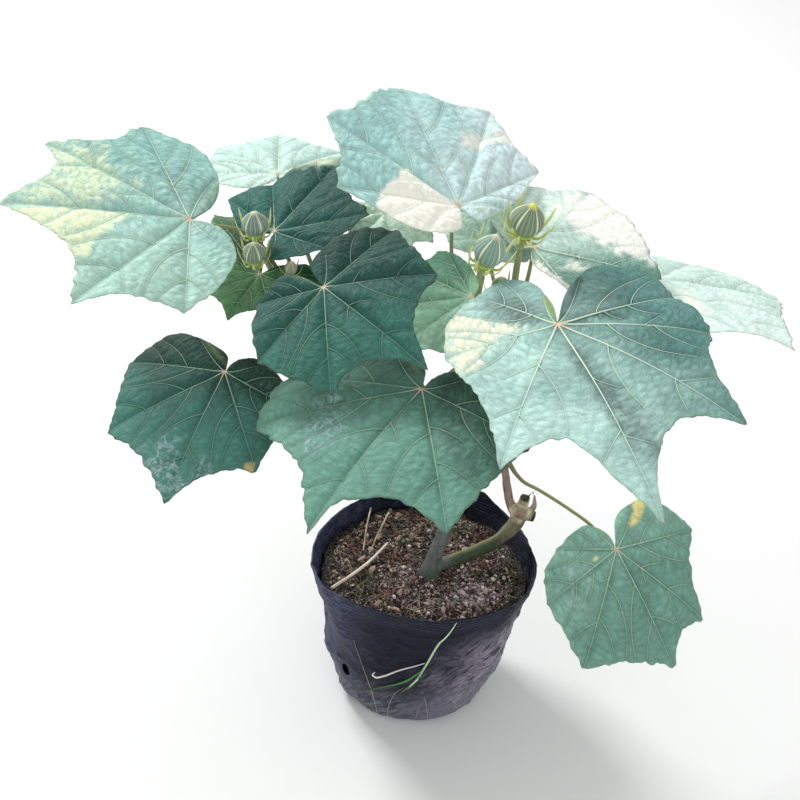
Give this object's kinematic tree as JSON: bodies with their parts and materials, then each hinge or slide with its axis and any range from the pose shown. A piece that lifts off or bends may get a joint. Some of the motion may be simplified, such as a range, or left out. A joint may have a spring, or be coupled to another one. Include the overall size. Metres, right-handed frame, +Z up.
{
  "type": "potted cotton rose",
  "caption": "Cotton rose shrub in a thin nursery grow bag: broad lobed leaves on long stalks, ribbed flower buds and a pruned woody stem standing in potting soil.",
  "frame": {"origin": "centre of the grow bag's flat base, on the surface that the plant stands on", "axes": "+Z up; -Y towards the side that is usually looked at; +X to the right as seen from there"},
  "size_m": [0.567, 0.4452, 0.4716],
  "materials": {
    "bag_film": "thin wrinkled polyethylene film, dusty",
    "potting_soil": "damp coir and peat crumb",
    "bark": "grey green bark, fissured",
    "shoot_green": "smooth green and pinkish young stem",
    "blade_green": "soft matt leaf, shaded",
    "blade_pale": "soft matt leaf, sunlit",
    "calyx_green": "felted grey green with pale ribs",
    "bract_green": "yellow green, matt",
    "straw": "dry and weathered",
    "grass_green": "fresh green"
  },
  "bodies": {
    "root": {"grow_bag": "bag_film", "potting_soil": "potting_soil", "woody_stem": "bark", "left_shoot": "shoot_green", "centre_shoot": "shoot_green", "right_shoot": "shoot_green", "leaf_front": "blade_green", "leaf_low_left": "blade_green", "leaf_centre": "blade_green", "leaf_inner_left": "blade_green", "leaf_low_right": "blade_green", "leaf_bud_left": "blade_green", "leaf_inner_centre": "blade_green", "leaf_under_top": "blade_green", "leaf_behind_bud": "blade_green", "leaf_far_left": "blade_pale", "leaf_top": "blade_pale", "leaf_front_right": "blade_pale", "leaf_back_right": "blade_pale", "leaf_far_right": "blade_pale", "leaf_back_left": "blade_pale", "bud_left_upper": "calyx_green", "bud_left_lower": "calyx_green", "bud_middle": "calyx_green", "bud_top_right": "calyx_green", "bud_small_middle": "calyx_green", "bud_small_left": "calyx_green", "bud_left_upper_bracts": "bract_green", "bud_left_lower_bracts": "bract_green", "bud_middle_bracts": "bract_green", "bud_top_right_bracts": "bract_green", "bud_small_middle_bracts": "bract_green", "bud_small_left_bracts": "bract_green", "pale_straw": "straw", "dry_stalk_left": "straw", "dry_stalk_middle": "straw", "grass_sprig": "grass_green"}
  },
  "joints": []
}
